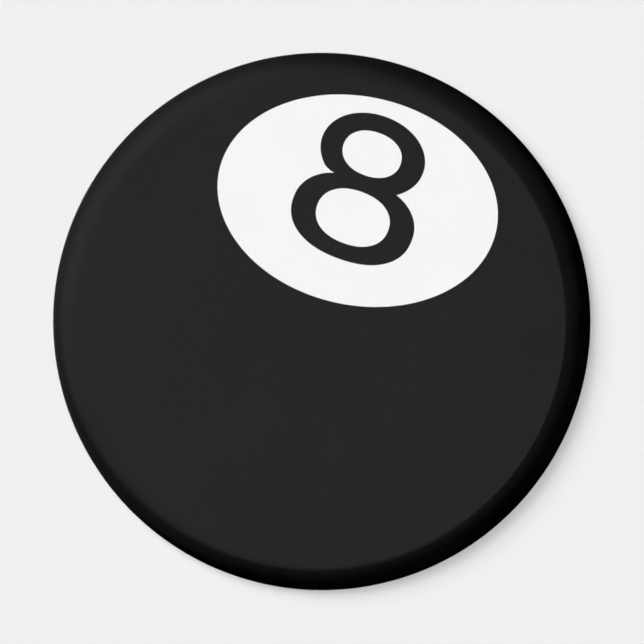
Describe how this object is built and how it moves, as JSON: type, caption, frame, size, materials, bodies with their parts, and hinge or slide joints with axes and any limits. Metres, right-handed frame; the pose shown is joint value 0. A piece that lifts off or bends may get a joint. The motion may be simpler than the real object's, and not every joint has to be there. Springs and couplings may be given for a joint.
{
  "type": "round button magnet",
  "caption": "Flat round refrigerator magnet with a rolled rim and a printed eight-ball face under clear film; a tin shell and back plate carry a flexible magnet disc.",
  "frame": {"origin": "centre of the magnet's contact face, the lowest point of the part", "axes": "+Z out of the printed face, +Y to the top of the picture, +X to the right of the picture as read from the front"},
  "size_m": [0.0572, 0.0572, 0.0052],
  "materials": {
    "film": "glossy clear polyester film",
    "black_toner": "satin black toner",
    "paper": "smooth white coated paper",
    "shell_tinplate": "bright tinplate, fine rolling grain",
    "plate_tinplate": "bright tinplate, fine rolling grain, light handling scratches",
    "adhesive": "tacky acrylic adhesive on a thin carrier",
    "magnet_rubber": "calendered ferrite rubber, matt"
  },
  "bodies": {
    "root": {"clear_film": "film", "field_print": "black_toner", "numeral_print": "black_toner", "printed_paper": "paper", "front_shell": "shell_tinplate", "back_plate": "plate_tinplate", "adhesive_disc": "adhesive", "magnet_disc": "magnet_rubber"}
  },
  "joints": []
}
